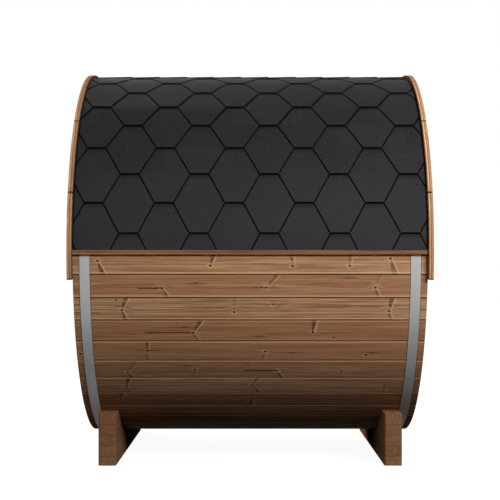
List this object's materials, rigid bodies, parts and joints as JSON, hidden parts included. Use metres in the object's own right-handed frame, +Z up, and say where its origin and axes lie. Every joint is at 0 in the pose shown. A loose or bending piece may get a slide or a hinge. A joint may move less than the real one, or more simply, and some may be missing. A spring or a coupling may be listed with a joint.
{
  "type": "barrel sauna",
  "caption": "Staved wooden barrel cabin on two cradles, drawn up by steel hoops, with a roof of hexagonal bitumen shingles between arched end trims.",
  "frame": {"origin": "on the ground, under the middle of the barrel", "axes": "+X along the barrel to its door end, +Y from its front to its back, +Z up"},
  "size_m": [1.7304, 1.9654, 2.0467],
  "materials": {
    "stave_wood": "oiled heat-treated wood",
    "wall_wood": "oiled heat-treated wood",
    "door_wood": "oiled heat-treated wood",
    "batten_wood": "oiled heat-treated wood",
    "cradle_wood": "oiled glued beam",
    "trim_wood": "oiled wood",
    "handle_wood": "oiled wood",
    "hoop_steel": "brushed",
    "hinge_steel": "brushed",
    "shingle": "mineral granules on bitumen",
    "felt": "bitumen felt",
    "door_glass": "bronze tinted"
  },
  "bodies": {
    "root": {"bottom_stave": "stave_wood", "lower_back_staves_a": "stave_wood", "lower_back_staves_b": "stave_wood", "upper_back_staves_a": "stave_wood", "upper_back_staves_b": "stave_wood", "ridge_stave": "stave_wood", "upper_front_staves_a": "stave_wood", "upper_front_staves_b": "stave_wood", "lower_front_staves_a": "stave_wood", "lower_front_staves_b": "stave_wood", "hoop_left": "hoop_steel", "hoop_right": "hoop_steel", "hoop_lugs": "hoop_steel", "cradle_left": "cradle_wood", "cradle_right": "cradle_wood", "roof_felt_front": "felt", "roof_felt_back": "felt", "starter_front": "shingle", "starter_back": "shingle", "shingles_front_a": "shingle", "shingles_front_b": "shingle", "shingles_back_a": "shingle", "shingles_back_b": "shingle", "ridge_caps": "shingle", "eave_batten_front": "batten_wood", "eave_batten_back": "batten_wood", "trim_left_front": "trim_wood", "trim_left_back": "trim_wood", "trim_right_front": "trim_wood", "trim_right_back": "trim_wood", "left_wall_boards_a": "wall_wood", "left_wall_boards_b": "wall_wood", "right_wall_boards_front": "wall_wood", "right_wall_boards_back": "wall_wood", "right_wall_boards_over": "wall_wood", "right_wall_boards_under": "wall_wood", "door_frame": "door_wood", "door_boards": "door_wood", "door_ledges": "door_wood", "door_glass": "door_glass", "door_glass_beads": "door_wood", "door_hinges": "hinge_steel", "door_handles": "handle_wood"}
  },
  "joints": []
}
